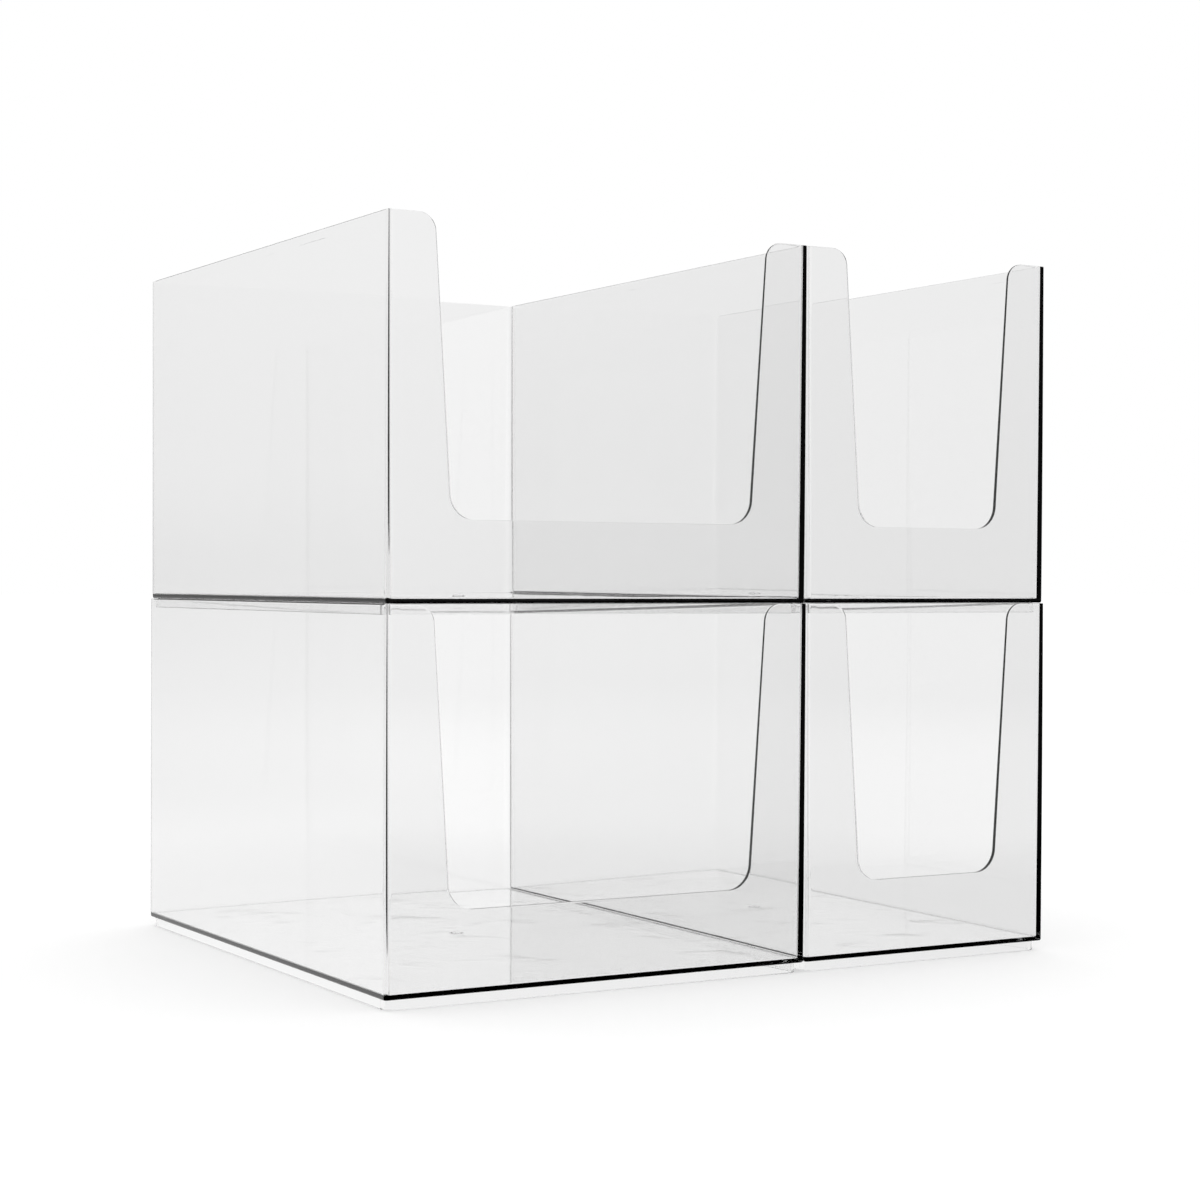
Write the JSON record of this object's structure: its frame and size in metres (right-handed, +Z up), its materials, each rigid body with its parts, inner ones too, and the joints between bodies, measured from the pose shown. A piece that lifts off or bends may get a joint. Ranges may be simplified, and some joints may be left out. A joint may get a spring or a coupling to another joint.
{
  "type": "stacking storage bins",
  "caption": "Clear open-front storage bins in two stacked columns, wide beside narrow. Drafted moulded walls, a U-shaped front opening and a foot ring that nests in the rim below.",
  "frame": {"origin": "on the floor, under the middle of the set's bounding box", "axes": "+X to the right across the fronts, from the wide column to the narrow one; +Y to the back, so the open fronts face -Y; +Z up"},
  "size_m": [0.433, 0.356, 0.4094],
  "materials": {
    "clear_plastic": "clear, polished moulding with slight haze"
  },
  "bodies": {
    "lower_wide": {"lower_wide_bin": "clear_plastic"},
    "upper_wide": {"upper_wide_bin": "clear_plastic"},
    "lower_narrow": {"lower_narrow_bin": "clear_plastic"},
    "upper_narrow": {"upper_narrow_bin": "clear_plastic"}
  },
  "joints": [
    {"name": "wide_lift", "type": "slide", "parent": "lower_wide", "child": "upper_wide", "axis": [0, 0, 1], "range_m": [0, 0.06]},
    {"name": "column_slide", "type": "slide", "parent": "lower_wide", "child": "lower_narrow", "axis": [1, 0, 0], "range_m": [0, 0.06]},
    {"name": "narrow_lift", "type": "slide", "parent": "lower_narrow", "child": "upper_narrow", "axis": [0, 0, 1], "range_m": [0, 0.06]}
  ]
}
